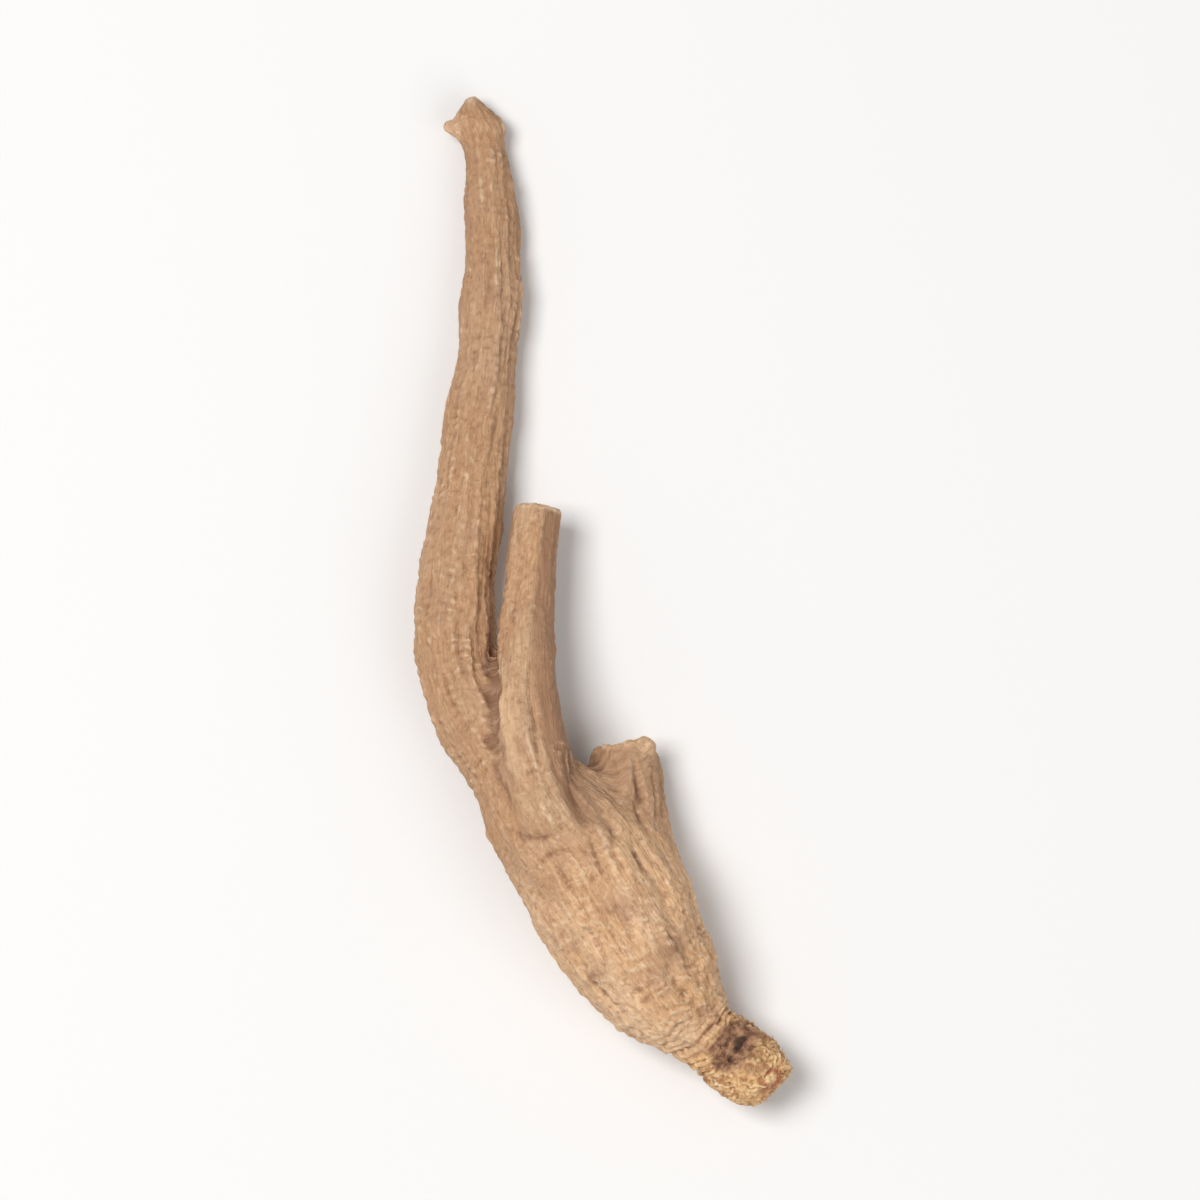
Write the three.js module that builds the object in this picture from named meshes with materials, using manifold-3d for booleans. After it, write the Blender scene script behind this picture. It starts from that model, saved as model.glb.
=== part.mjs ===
// A dried ginseng root, lying on a table with its best side up.
// A wrinkled spindle body runs from a scarred crown to a fork, where it splits into a long leg,
// a slim leg grown against it and a short stub. It grew as one piece, so it is one solid.
// Millimetres, +Z up. The origin is the middle of the flat spot that the body rests on.
import * as THREE from "three";
import { mergeVertices } from "three/addons/utils/BufferGeometryUtils.js";
import Module from "manifold-3d";

// Driving dimensions: the thickest radius of each limb
const MAIN_RADIUS = 7.65;
const SLIM_LEG_RADIUS = 3.7;
const STUB_RADIUS = 5.9;
const ROOTLET_RADIUS = 0.95;

// A limb's section is an ellipse with two and three broad lobes, from uneven shrinking
const SECTION_HEIGHT = 0.93;
const TWO_LOBES = 0.03;
const THREE_LOBES = 0.025;

// Along a limb its thickness swells and shrinks a little, more on one side than on the other
const SWELL_SHARE = 0.035;
const SWELL_STEP = 2.3;

// Skin relief: long furrows everywhere, rings close to the crown, lumps on the crown.
// Plain numbers inside a sine are beats and phases, which keep the pattern uneven.
const FURROW_DEPTH = 0.28;
const BROAD_FURROWS = 0.65;
const SLOW_WANDER = 0.15;
const QUICK_WANDER = 0.08;
const RING_DEPTH = 0.5;
const RING_PITCH = 2.3;
const RING_START = 8.5;
const RING_RISE = 1.5;
const RING_FADE = 15;
const CROWN_LUMP = 0.22;
const CROWN_LENGTH = 8;

// Where two limbs meet, the skin swells over this reach and fills the crease
const FILLET_REACH = 4.5;
const FILLET_SHARE = 0.25;

// The bowl that the fallen stem left in the crown: centre, half sizes and turn about Z
const SCAR_CENTRE = new THREE.Vector3(14.9, -20.3, 9.6);
const SCAR_HALF_SIZE = new THREE.Vector3(2.0, 2.8, 1.9);
const SCAR_TURN = THREE.MathUtils.degToRad(-34);

// Size of the block below the table top that trims the underside flat
const TRIM_SIZE = 240;

// A dome's rings end at this share of its width, where its pole closes it
const POLE_SHARE = 0.05;

// Corners closer than this are one corner
const MERGE_DISTANCE = 1e-4;

// Each limb runs through its stations: x, y, z, a share of the limb's radius, and the number of
// rings up to the next station. A round end is a dome, and a cut end is a flat face.
const main = {
  radius: MAIN_RADIUS,
  ridges: { coarse: 6, fine: 10, phase: 0.4 },
  sides: 48,
  startDome: 1.8,
  endDome: 1.9,
  stations: [
    [18.9, -24.8, 5.3, 0.438, 4],
    [16.6, -23.1, 5.4, 0.497, 4],
    [14.3, -21.4, 5.5, 0.51, 4],
    [12.0, -19.8, 5.7, 0.444, 4],
    [10.4, -17.9, 5.9, 0.608, 4],
    [8.1, -15.2, 6.4, 0.765, 5],
    [5.4, -11.2, 6.8, 0.908, 5],
    [2.8, -6.5, 6.95, 1.0, 4],
    [0.4, -2.7, 6.55, 0.974, 4],
    [-2.1, 0.5, 6.1, 0.882, 4],
    [-4.4, 3.2, 6.0, 0.752, 4],
    [-6.4, 6.0, 5.75, 0.647, 3],
    [-8.4, 8.9, 5.4, 0.588, 3],
    [-10.6, 12.3, 5.0, 0.556, 3],
    [-12.1, 16.0, 4.5, 0.536, 3],
    [-12.6, 20.1, 4.1, 0.523, 3],
    [-12.4, 25.5, 3.75, 0.497, 3],
    [-11.5, 32.3, 3.45, 0.471, 3],
    [-10.5, 40.0, 3.15, 0.438, 3],
    [-9.5, 48.5, 2.85, 0.405, 3],
    [-9.0, 56.5, 2.6, 0.379, 3],
    [-9.2, 63.3, 2.25, 0.34, 3],
    [-9.9, 68.4, 1.9, 0.268, 3],
    [-10.6, 71.1, 1.95, 0.281, 3],
    [-11.5, 73.6, 2.1, 0.19, 0],
  ],
};
const slimLeg = {
  radius: SLIM_LEG_RADIUS,
  ridges: { coarse: 3, fine: 5, phase: 3.1 },
  sides: 30,
  startDome: 3,
  endDome: 0,
  stations: [
    [0.0, -2.4, 7.6, 0.946, 3],
    [-2.4, 1.8, 9.9, 1.0, 3],
    [-4.0, 5.6, 9.8, 0.919, 3],
    [-5.0, 9.6, 9.1, 0.851, 3],
    [-5.6, 13.9, 8.2, 0.811, 3],
    [-5.6, 19.6, 7.1, 0.77, 3],
    [-5.1, 26.3, 6.1, 0.703, 3],
    [-4.5, 31.4, 5.5, 0.635, 2],
    [-4.4, 32.4, 5.4, 0.581, 0],
  ],
};
const stub = {
  radius: STUB_RADIUS,
  ridges: { coarse: 4, fine: 6, phase: 5.0 },
  sides: 34,
  startDome: 3,
  endDome: 0.9,
  stations: [
    [2.4, -6.8, 6.5, 0.9, 3],
    [3.4, -3.2, 6.2, 0.932, 3],
    [3.9, 0.4, 5.2, 0.805, 3],
    [4.1, 3.8, 4.3, 0.669, 3],
    [4.1, 6.6, 3.4, 0.585, 3],
    [4.0, 8.8, 2.8, 0.525, 0],
  ],
};
const limbs = [main, slimLeg, stub];

// Short rootlets, broken off: one at the stub's end and one at the long leg's tip
const rootlets = [
  [[4.6, 6.2, 4.4, 1.0, 2], [5.7, 8.0, 4.8, 0.95, 2], [6.5, 9.4, 5.1, 0.75, 0]],
  [[-10.8, 70.6, 2.1, 0.9, 2], [-12.7, 70.8, 2.2, 0.75, 2], [-14.0, 71.2, 2.3, 0.5, 0]],
].map((stations) => ({
  radius: ROOTLET_RADIUS,
  ridges: { coarse: 3, fine: 4, phase: 0 },
  sides: 8,
  startDome: 0.6,
  endDome: 0.5,
  stations,
}));

// A curve through the stations gives the path, and another gives the radius at the same places.
function traceLimb(limb) {
  const curve = (pick) => new THREE.CatmullRomCurve3(limb.stations.map(pick), false, "catmullrom", 0.5);
  const path = curve(([x, y, z]) => new THREE.Vector3(x, y, z));
  const radii = curve(([, , , share]) => new THREE.Vector3(share * limb.radius, 0, 0));
  const spans = limb.stations.length - 1;
  const places = limb.stations.flatMap(([, , , , rings], span) =>
    Array.from({ length: rings }, (_, ring) => (span + ring / rings) / spans),
  );
  const up = new THREE.Vector3(0, 0, 1);
  let travelled = 0;
  limb.sections = [];
  for (const t of [...places, 1]) {
    const centre = path.getPoint(t);
    const along = path.getTangent(t);
    const side = new THREE.Vector3().crossVectors(along, up).normalize();
    const top = new THREE.Vector3().crossVectors(side, along);
    travelled += limb.sections.length ? centre.distanceTo(limb.sections.at(-1).centre) : 0;
    limb.sections.push({ centre, side, top, radius: radii.getPoint(t).x, travelled });
  }
  limb.length = travelled;
}

// Quarter-round rise from 0 at a limb's end to 1 at the dome's length from it.
function dome(fromEnd, length) {
  if (length <= 0 || fromEnd >= length) return 1;
  const short = 1 - fromEnd / length;
  return Math.sqrt(Math.max(0, 1 - short * short));
}

// Sharp valleys and round crests: the size of a sine, less its mean.
const wrinkle = (x) => Math.abs(Math.sin(x)) - 2 / Math.PI;

// Long furrows wander as they run along the limb, and deepen with the root of its radius.
function furrowRelief({ coarse, fine, phase }, angle, { travelled, radius }) {
  const slow = SLOW_WANDER * Math.sin(travelled / 9 + phase);
  const quick = QUICK_WANDER * Math.sin(travelled / 4.3 + 2 * phase);
  const broad = wrinkle(coarse * (angle + slow + quick) + phase);
  const narrow = wrinkle(fine * (angle - slow + quick) + 2.3 * phase);
  return FURROW_DEPTH * Math.sqrt(radius) * (BROAD_FURROWS * broad + (1 - BROAD_FURROWS) * narrow);
}

// Rings crowd the shoulder next to the crown and die out along the body.
function ringRelief(angle, travelled) {
  const past = travelled - RING_START;
  if (past < 0 || past > RING_FADE) return 0;
  const fade = Math.min(1, past / RING_RISE) * (1 - past / RING_FADE);
  const wobble = 0.5 * Math.sin(2 * angle + 0.7) + 0.35 * Math.sin(5 * angle + 2.1);
  return RING_DEPTH * fade * wrinkle((Math.PI * past) / RING_PITCH + wobble);
}

// The crown is knobbly: lumps that cross each other, gone where the shoulder starts.
function crownRelief(angle, travelled) {
  const share = Math.max(0, 1 - travelled / CROWN_LENGTH);
  const lumps = Math.sin(3 * angle + 1.2 * travelled) + Math.sin(5 * angle - 1.7 * travelled + 1);
  return CROWN_LUMP * Math.min(1, 2 * share) * lumps;
}

// Thick and thin places along the limb.
function swellShare(angle, travelled) {
  const step = travelled / SWELL_STEP;
  return SWELL_SHARE * (Math.sin(step + 1.7 * Math.sin(step / 3)) + 0.7 * Math.sin(2 * angle + step / 1.5));
}

// Free distance from a point to a limb's plain round skin.
function clearance(limb, point) {
  let nearest = Infinity;
  for (const { centre, radius } of limb.sections) {
    nearest = Math.min(nearest, centre.distanceTo(point) - radius);
  }
  return nearest;
}

// How far the skin swells at a point where another limb is close.
function filletAt(limb, point) {
  let swell = 0;
  for (const other of limbs) {
    if (other === limb) continue;
    const reach = Math.max(0, 1 - Math.abs(clearance(other, point)) / FILLET_REACH);
    swell = Math.max(swell, FILLET_SHARE * FILLET_REACH * reach * reach);
  }
  return swell;
}

// One point of a limb's skin, at a ring's section and an angle from its side over its top.
function skinPoint(limb, section, angle, withFillet) {
  const { centre, side, top, travelled } = section;
  const lobes = TWO_LOBES * Math.cos(2 * angle + 0.6) + THREE_LOBES * Math.cos(3 * angle + 2.0);
  const ends = dome(travelled, limb.startDome) * dome(limb.length - travelled, limb.endDome);
  let relief = furrowRelief(limb.ridges, angle, section);
  if (limb === main) {
    relief *= Math.min(1, travelled / RING_START);
    relief += ringRelief(angle, travelled) + crownRelief(angle, travelled);
  }
  const outward = side.clone().multiplyScalar(Math.cos(angle));
  outward.addScaledVector(top, SECTION_HEIGHT * Math.sin(angle));
  const reach = section.radius * (1 + lobes + swellShare(angle, travelled)) + relief;
  const point = centre.clone().addScaledVector(outward, reach * ends);
  if (withFillet) point.addScaledVector(outward, filletAt(limb, point) * ends);
  return point;
}

// A closed tube: rings of skin points, with a pole at the middle of each end.
function limbGeometry(limb, withFillet) {
  const points = [limb.sections[0].centre];
  const skinRings = limb.sections.filter(
    ({ travelled }) =>
      dome(travelled, limb.startDome) > POLE_SHARE &&
      dome(limb.length - travelled, limb.endDome) > POLE_SHARE,
  );
  for (const section of skinRings) {
    for (let i = 0; i < limb.sides; i++) {
      points.push(skinPoint(limb, section, (2 * Math.PI * i) / limb.sides, withFillet));
    }
  }
  points.push(limb.sections.at(-1).centre);
  const faces = [];
  const at = (ring, i) => 1 + ring * limb.sides + (i % limb.sides);
  const lastRing = skinRings.length - 1;
  for (let i = 0; i < limb.sides; i++) {
    faces.push(0, at(0, i), at(0, i + 1));
    faces.push(points.length - 1, at(lastRing, i + 1), at(lastRing, i));
    for (let ring = 0; ring < lastRing; ring++) {
      faces.push(at(ring, i), at(ring + 1, i + 1), at(ring, i + 1));
      faces.push(at(ring, i), at(ring + 1, i), at(ring + 1, i + 1));
    }
  }
  return new THREE.BufferGeometry().setFromPoints(points).setIndex(faces);
}

const wasm = await Module();
wasm.setup();

// A closed geometry as a solid that can be joined and cut.
function solidFrom(geometry) {
  const bare = new THREE.BufferGeometry().setAttribute("position", geometry.getAttribute("position"));
  bare.setIndex(geometry.getIndex());
  const merged = mergeVertices(bare, MERGE_DISTANCE);
  return new wasm.Manifold(
    new wasm.Mesh({
      numProp: 3,
      vertProperties: merged.getAttribute("position").array,
      triVerts: new Uint32Array(merged.getIndex().array),
    }),
  );
}

// A solid back as a geometry for a mesh.
function geometryFrom(solid) {
  const { vertProperties, triVerts } = solid.getMesh();
  const geometry = new THREE.BufferGeometry();
  geometry.setAttribute("position", new THREE.BufferAttribute(vertProperties, 3));
  geometry.setIndex(new THREE.BufferAttribute(triVerts, 1));
  geometry.computeVertexNormals();
  return geometry;
}

function scarGeometry() {
  return new THREE.SphereGeometry(1, 16, 10)
    .scale(...SCAR_HALF_SIZE.toArray())
    .rotateZ(SCAR_TURN)
    .translate(...SCAR_CENTRE.toArray());
}

function rootSolid() {
  [...limbs, ...rootlets].forEach(traceLimb);
  const grown = [
    ...limbs.map((limb) => limbGeometry(limb, true)),
    ...rootlets.map((limb) => limbGeometry(limb, false)),
  ];
  const whole = grown.map(solidFrom).reduce((joined, next) => joined.add(next));
  const table = new THREE.BoxGeometry(TRIM_SIZE, TRIM_SIZE, TRIM_SIZE).translate(0, 0, -TRIM_SIZE / 2);
  return whole.subtract(solidFrom(scarGeometry())).subtract(solidFrom(table));
}

const skin = new THREE.MeshStandardMaterial({ color: 0xc29a74, roughness: 0.9, metalness: 0 });
const root = new THREE.Mesh(geometryFrom(rootSolid()), skin);
root.name = "ginseng_root";

const part = new THREE.Group();
part.add(root);

export default part;
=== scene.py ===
"""A dried ginseng root lying on a pale table, seen from above.

The root is one skin. Each limb is a profile carried along a path, the limbs are fused, every point is
then moved onto the smooth union of the limbs, and wrinkles, rings, scars and broken ends are raised
from it by formulas. Loose fibres are thin tubes that start in that skin. Lengths are millimetres, and
become metres when a mesh is written. The table, the lights and the camera are in metres.
"""
import math
from types import SimpleNamespace

import bmesh
import bpy
import numpy as np
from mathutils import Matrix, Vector


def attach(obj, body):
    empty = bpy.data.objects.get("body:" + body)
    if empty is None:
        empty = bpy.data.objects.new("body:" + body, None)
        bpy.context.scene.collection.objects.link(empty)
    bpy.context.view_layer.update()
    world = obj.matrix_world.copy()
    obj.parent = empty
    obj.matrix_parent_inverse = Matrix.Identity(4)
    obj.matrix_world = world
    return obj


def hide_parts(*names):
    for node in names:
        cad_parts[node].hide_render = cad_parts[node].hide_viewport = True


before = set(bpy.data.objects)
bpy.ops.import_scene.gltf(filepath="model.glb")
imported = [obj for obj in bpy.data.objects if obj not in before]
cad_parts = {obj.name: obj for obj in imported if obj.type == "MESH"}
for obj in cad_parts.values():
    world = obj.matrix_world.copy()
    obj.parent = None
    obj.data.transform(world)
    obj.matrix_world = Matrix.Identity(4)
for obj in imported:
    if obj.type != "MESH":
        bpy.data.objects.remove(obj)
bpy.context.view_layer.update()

MM = 0.001

# Odd numbers that mix the bits of a noise cell's coordinates and of its seed
MIX_X = np.uint64(374761393)
MIX_Y = np.uint64(668265263)
MIX_Z = np.uint64(2246822519)
MIX_SEED = np.uint64(3266489917)
LOW_BITS = np.uint64(0xFFFFFFFF)

# Limbs: rows of x, y, z and radius, from the crown end outwards
MAIN_STATIONS = np.array([
    [18.6, -24.6, 5.20, 2.70],
    [16.4, -22.9, 5.30, 3.20],
    [14.1, -21.1, 5.40, 3.45],
    [12.0, -19.5, 5.70, 3.45],
    [10.4, -17.8, 5.90, 4.45],
    [8.1, -15.2, 6.40, 5.85],
    [5.4, -11.2, 6.80, 6.95],
    [2.8, -6.5, 6.95, 7.65],
    [0.4, -2.7, 6.55, 7.45],
    [-2.1, 0.5, 6.10, 6.75],
    [-4.4, 3.2, 6.00, 5.75],
    [-6.4, 6.0, 5.75, 4.95],
    [-8.4, 8.9, 5.40, 4.50],
    [-10.6, 12.3, 5.00, 4.25],
    [-12.1, 16.0, 4.50, 4.10],
    [-12.6, 20.1, 4.10, 4.00],
    [-12.4, 25.5, 3.75, 3.80],
    [-11.5, 32.3, 3.45, 3.60],
    [-10.5, 40.0, 3.15, 3.35],
    [-9.5, 48.5, 2.85, 3.10],
    [-9.0, 56.5, 2.60, 2.90],
    [-9.2, 63.3, 2.25, 2.60],
    [-9.9, 68.4, 1.90, 2.05],
    [-10.6, 71.1, 1.95, 2.15],
    [-11.5, 73.6, 2.10, 1.45],
])
SLIM_LEG_STATIONS = np.array([
    [0.0, -2.4, 7.60, 3.50],
    [-2.4, 1.8, 9.90, 3.70],
    [-4.0, 5.6, 9.80, 3.40],
    [-5.0, 9.6, 9.10, 3.15],
    [-5.6, 13.9, 8.20, 3.00],
    [-5.6, 19.6, 7.10, 2.85],
    [-5.1, 26.3, 6.10, 2.60],
    [-4.5, 31.4, 5.50, 2.35],
    [-4.4, 32.4, 5.40, 2.15],
])
STUB_STATIONS = np.array([
    [2.4, -6.8, 6.50, 5.30],
    [3.4, -3.2, 6.20, 5.50],
    [3.9, 0.4, 5.20, 4.75],
    [4.1, 3.8, 4.30, 3.95],
    [4.1, 6.6, 3.40, 3.45],
    [4.0, 8.8, 2.80, 3.10],
])
STUB_ROOTLET_STATIONS = np.array([
    [4.6, 6.2, 4.40, 0.95],
    [5.7, 8.0, 4.80, 0.90],
    [6.5, 9.4, 5.10, 0.71],
])
TIP_ROOTLET_STATIONS = np.array([
    [-10.8, 70.6, 2.10, 0.86],
    [-12.7, 70.8, 2.20, 0.71],
    [-14.0, 71.2, 2.30, 0.48],
])
SAMPLES_PER_SPAN = 16
SWEEP_SIDES = 48

# Form of a limb's section, and the relief that the solid carries too
SECTION_HEIGHT = 0.93
TWO_LOBES = 0.03
THREE_LOBES = 0.025
SWELL_SHARE = 0.035
SWELL_STEP = 2.3
FURROW_DEPTH = 0.17
BROAD_FURROWS = 0.65
SLOW_WANDER = 0.15
QUICK_WANDER = 0.08
RING_DEPTH = 0.24
RING_PITCH = 2.3
RING_START = 8.5
RING_RISE = 1.5
RING_FADE = 15.0
CROWN_LUMP = 0.12
CROWN_LENGTH = 8.0

# Fine relief of the skin: heights, depths, the spacing of its faint rings, and the grit of a cut
LUMP_HEIGHT = 0.24
LONG_CREASE = 0.22
SHORT_CREASE = 0.11
CROSS_CREASE = 0.14
CRINKLE_HEIGHT = 0.10
FINE_LUMP_HEIGHT = 0.07
RINGLET_HEIGHT = 0.20
RINGLET_PITCH = 1.05
CUT_GRIT = 0.16
FINE_CUT_GRIT = 0.10

# Fusing: voxel of the skin, blends between limbs, and rounds of moving points onto their union
VOXEL = 0.25
LIMB_BLEND = 1.2
PATTERN_BLEND = 0.5
GRAIN_BLEND = 1.6
PROJECTION_ROUNDS = 3
REFINED_ROUNDS = 1
PROJECTION_STEP = 0.4
SLOPE_STEP = 0.12
REFINED_PAST_NECK = 0.9
FOLD_ROUNDS = 6

# The bowl that the fallen stem left in the crown
SCAR_CENTRE = np.array([14.9, -20.8, 9.2])
SCAR_HALF_SIZE = np.array([1.85, 3.7, 1.9])
SCAR_TURN = math.radians(-34.0)
SCAR_BLEND = 0.7

# The stain of that scar and its dark core, as seen from above
STAIN_CENTRE = np.array([14.7, -20.5])
STAIN_HALF_SIZE = np.array([2.15, 3.25])
CORE_CENTRE = np.array([15.1, -20.5])
CORE_HALF_SIZE = np.array([0.38, 1.6])

# Other marks of the crown: groove of the neck, rings of the collar, crumbling bark, scar, two spots
NECK_AT = 8.4
NECK_SKEW = 0.35
GROOVE_WIDTH = 0.22
GROOVE_DEPTH = 0.24
COLLAR_PITCH = 0.68
COLLAR_HEIGHT = 0.28
CHUNK_HEIGHT = 0.30
FLAKE_HEIGHT = 0.42
GRIT_HEIGHT = 0.12
SCAR_GRIT = 0.20
CORE_DEPTH = 0.30
RED_SPOT = np.array([18.2, -23.8, 7.2])
RED_SIZE = 1.1
PALE_SPOT = np.array([13.2, -23.8, 6.7])
PALE_SIZE = 0.75

# Darker skin: along the trunk, at its tip, on the slim leg, and painted shade on that leg's +x side and on
# the stub
TRUNK_TONE = 0.80
TIP_TONE = 0.20
SLIM_TONE = 0.70
SLIM_SIDE_PAINTED_SHADE = 0.80
STUB_PAINTED_SHADE = 1.05

# Dull patches on the body, as seen from above: centre, half sizes and strength
PATCHES = [
    ((8.5, -11.6), (1.5, 2.4), 1.3),
    ((1.1, -14.1), (0.9, 1.9), 0.8),
    ((2.3, -7.7), (1.7, 1.2), 0.7),
    ((-3.2, -5.7), (1.4, 1.1), 0.5),
]

# The knuckle above the fork: centre and half sizes as seen from above, and height
KNUCKLE_CENTRE = np.array([-4.3, 1.9])
KNUCKLE_HALF_SIZE = np.array([2.4, 1.7])
KNUCKLE_HEIGHT = 0.75

# Knobs of the long leg's tip: centre, size and height
KNOBS = [
    ((-8.3, 70.9, 2.6), 1.2, 0.60),
    ((-11.1, 73.5, 2.6), 0.8, 0.70),
    ((-12.3, 72.0, 2.9), 0.9, 0.35),
    ((-9.3, 67.6, 4.0), 1.0, 0.30),
]

# Rootlet scars, strewn over this part of each limb's length
WART_SEED = 11
WART_COUNT = 26
WART_SPAN = (0.25, 0.9)
WART_HEIGHT = 0.42
DIMPLE_DEPTH = 0.40
DIMPLE_SHARE = 0.42

# Creases seen from above: start, middle and end of each, then width and depth
CREASES = [
    ((2.7, 0.7), (3.1, -2.9), (4.0, -5.4), 0.30, 0.30),
    ((4.6, 0.5), (5.1, -2.0), (6.1, -4.6), 0.32, 0.26),
    ((-0.5, -9.2), (1.2, -11.2), (3.4, -15.1), 0.26, 0.34),
    ((7.5, -8.5), (8.7, -10.4), (10.0, -12.4), 0.26, 0.30),
    ((-7.8, -0.5), (-6.0, -5.6), (-2.5, -10.7), 0.26, 0.28),
    ((-2.5, -10.7), (0.9, -14.8), (4.1, -18.2), 0.26, 0.28),
    ((-8.7, 20.0), (-8.6, 12.6), (-9.7, 6.4), 0.75, 0.85),
    ((-9.8, 8.4), (-8.3, 4.6), (-7.0, 0.7), 0.50, 0.50),
    ((-5.0, 17.5), (-4.8, 11.0), (-3.4, 5.6), 0.50, 0.60),
    ((-1.7, 8.5), (-0.6, 4.0), (0.5, -0.4), 0.95, 1.05),
    ((-6.6, 8.5), (-5.4, 6.3), (-4.4, 3.6), 0.26, 0.32),
    ((-3.2, 2.7), (-3.0, 1.6), (-2.0, 0.7), 0.24, 0.30),
    ((-7.2, 0.4), (-4.4, -0.9), (-0.9, 1.0), 0.42, 0.50),
    ((-5.2, -3.4), (-2.4, -2.1), (-0.2, -1.2), 0.34, 0.30),
    ((4.8, 8.5), (5.3, 3.6), (5.4, 0.7), 0.28, 0.40),
    ((0.4, 2.0), (0.9, -1.6), (2.0, -5.0), 0.28, 0.36),
]

# Ridges seen from above, in the same form: the crest of the slim leg, and two on the trunk under it
RIDGES = [
    ((-8.0, 17.5), (-7.3, 10.4), (-5.7, 3.0), 0.75, 0.60),
    ((1.3, 1.0), (2.3, -2.6), (3.4, -6.4), 0.60, 0.35),
    ((3.6, 0.8), (4.2, -2.4), (5.2, -5.4), 0.55, 0.35),
]

CREASE_SAMPLES = 32

# Rounds of smoothing that a hollow is measured against
FINE_ROUNDS = 3
BROAD_ROUNDS = 40

# Masks that the mesh keeps for its finish, three to an attribute
KEPT_MASKS = {
    # The tone also holds painted shade on the stub and on the slim leg's +x side
    "hollows": ("fine", "broad", "tone"),
    "marks": ("crown", "scar", "cut"),
    "spots": ("red", "wart", "core"),
    # The ridge mask marks where a highlight is painted on the ridges
    "lights": ("painted_ridge_highlight", "flake", "lip"),
}

# Loose fibres and flakes: how many, where the tuft is, and how far from their end or centre they start
STRAND_SEED = 5
STRAND_RINGS = 6
STRAND_SIDES = 5
END_FIBRES = 60
TUFT_FIBRES = 110
TUFT_CENTRE = np.array([19.2, -22.9, 6.2])
TUFT_SIZE = 0.85
TUFT_HEIGHT = 0.7
TUFT_GRIT = 0.5
CUT_FIBRES = 24
CROWN_FLAKES = 36
STRAND_SINK = 0.15
LOWEST_STRAND = 1.0
END_REACH = 2.4
TUFT_REACH = 1.2
CUT_REACH = 0.3
FLAKE_REACH = 7.4

# Fibres of the broken end, of the tuft, of the cuts, and flakes: how far each kind stands up, lies flat,
# curls and peels outwards, then its length, half width and half thickness
STRAND_KINDS = np.array([
    [0.25, 0.9, 0.40, 0.00, 0.50, 0.07, 0.04],
    [0.40, 0.6, 0.80, 0.00, 0.45, 0.05, 0.03],
    [0.70, 0.7, 0.30, 0.00, 0.35, 0.06, 0.04],
    [0.06, 1.0, 0.15, 0.15, 0.60, 0.20, 0.03],
])

# Paints as seen on screen, from 0 to 255
PAINTS = SimpleNamespace(
    # The darker tan, laid on by tone, also carries painted shade on the stub and on the slim leg's +x side
    tan=(219, 172, 126), pale_tan=(230, 191, 151), dull_tan=(188, 150, 127), dark_tan_and_painted_shade=(162, 122, 92),
    long_streak=(188, 144, 108), fine_streak=(172, 129, 97), fibre_streak=(156, 108, 70),
    # Painted highlight on crests, painted shade in furrows and in broad hollows
    painted_crest_highlight=(242, 214, 182), painted_furrow_shade=(138, 98, 70), painted_hollow_shade=(122, 88, 70),
    pale_dash=(242, 212, 176), dark_dash=(146, 108, 80),
    pale_fleck=(240, 207, 168), dark_fleck=(150, 108, 79), speck=(130, 94, 70),
    # The pale ridge paint is a painted highlight on the ridges, and is also laid on the stub's lip
    wart=(156, 114, 84), painted_ridge_highlight=(232, 194, 150),
    dark_bark=(176, 126, 84), gold_bark=(222, 178, 126), pale_bark=(246, 224, 180),
    # Painted highlight and painted shade of the crown bark's relief
    painted_bark_highlight=(242, 214, 166), painted_bark_shade=(116, 80, 55), brown_bark=(148, 102, 68),
    bark_flake=(250, 236, 206), red_fleck=(164, 84, 62),
    dark_scar=(110, 74, 54), brown_scar=(172, 130, 98), scar_crumb=(214, 178, 138), core=(36, 25, 20),
    pith=(196, 154, 114), pale_pith=(230, 200, 164), straw=(196, 150, 102), cream=(238, 212, 172),
)

# Table, light and camera, in metres; a light has a name, a place, a size and a power
FLOOR_HALF = 2.0
FLOOR_COLOUR = (0.84, 0.83, 0.82, 1.0)
LIGHTS = [
    ("key", (-0.42, 0.10, 1.0), 0.50, 8.8),
    ("fill", (0.60, -0.55, 0.70), 0.80, 3.2),
]
SKY_STRENGTH = 0.34
LOOK_AT = Vector((0.0016, 0.0233, 0.0040))
CAMERA_DISTANCE = 0.60
CAMERA_ELEVATION = math.radians(83.0)
VIEW_WIDTH = 0.118


# Noise, steps and bells

def lattice_gradients(cells, seed):
    """A repeatable random vector for each whole-number cell, by mixing the bits of its coordinates."""
    whole = cells.astype(np.int64).astype(np.uint64)
    mixed = whole[:, 0] * MIX_X + whole[:, 1] * MIX_Y + whole[:, 2] * MIX_Z
    mixed = (mixed + np.uint64(seed) * MIX_SEED + np.uint64(101)) & LOW_BITS
    mixed = ((mixed ^ (mixed >> np.uint64(15))) * MIX_Z) & LOW_BITS
    mixed = ((mixed ^ (mixed >> np.uint64(13))) * MIX_SEED) & LOW_BITS
    mixed ^= mixed >> np.uint64(16)
    parts = [(mixed >> np.uint64(shift)) & np.uint64(1023) for shift in (0, 10, 20)]
    return np.stack(parts, axis=1).astype(float) / 511.5 - 1.0


def gradient_noise(points, seed):
    """Smooth noise from about -1 to 1: random slopes at the lattice corners, eased between them."""
    cells = np.floor(points)
    inside = points - cells
    eased = inside ** 3 * (inside * (inside * 6.0 - 15.0) + 10.0)
    total = np.zeros(len(points))
    for corner in np.ndindex(2, 2, 2):
        offset = np.array(corner)
        slope = (lattice_gradients(cells + offset, seed) * (inside - offset)).sum(axis=1)
        share = np.where(offset == 1, eased, 1.0 - eased).prod(axis=1)
        total += share * slope
    return 1.4 * total


def bell(value, width):
    """1 where a value is 0, falling away on both sides over a width."""
    return np.exp(-((value / width) ** 2))


def spot(points, centre, size):
    """1 at a centre, falling away round it over a size."""
    return bell(np.linalg.norm(points - centre, axis=1), size)


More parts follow.
